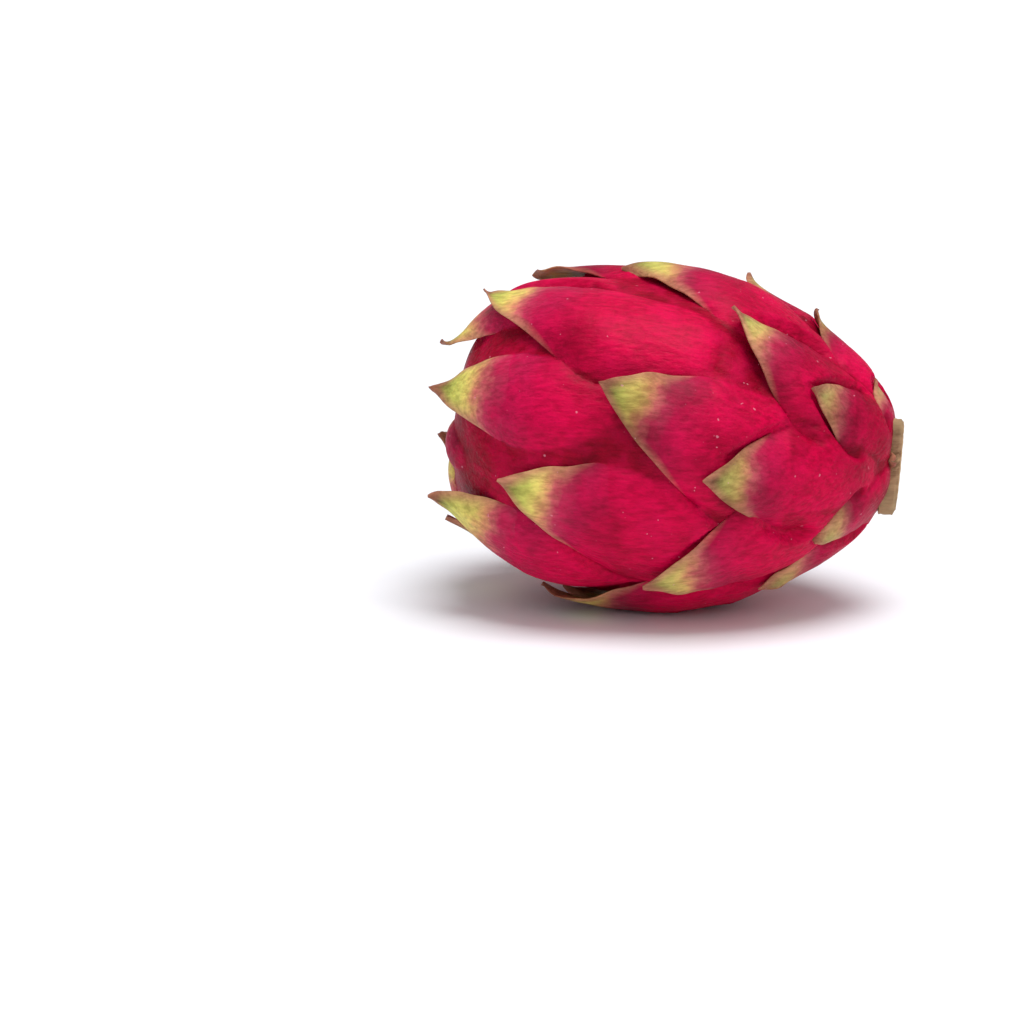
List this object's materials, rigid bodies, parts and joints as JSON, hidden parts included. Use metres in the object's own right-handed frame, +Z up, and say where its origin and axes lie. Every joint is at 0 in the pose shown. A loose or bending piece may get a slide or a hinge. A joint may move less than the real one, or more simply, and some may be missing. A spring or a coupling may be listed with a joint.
{
  "type": "whole red dragon fruit",
  "caption": "Whole egg-shaped tropical fruit lying on its side, red rind covered in leafy pointed scales with green tips.",
  "frame": {"origin": "on the flat spot that the fruit rests on, below its centre of mass", "axes": "+Z up, +X along the fruit towards its stalk end, -X towards its blossom end"},
  "size_m": [0.1188, 0.0908, 0.0871],
  "materials": {
    "red_rind": "satin",
    "woody_stalk": "matte",
    "withered_flower": "matte"
  },
  "bodies": {
    "root": {"fruit": "red_rind", "stem_stub": "woody_stalk", "flower_scar": "withered_flower"}
  },
  "joints": []
}
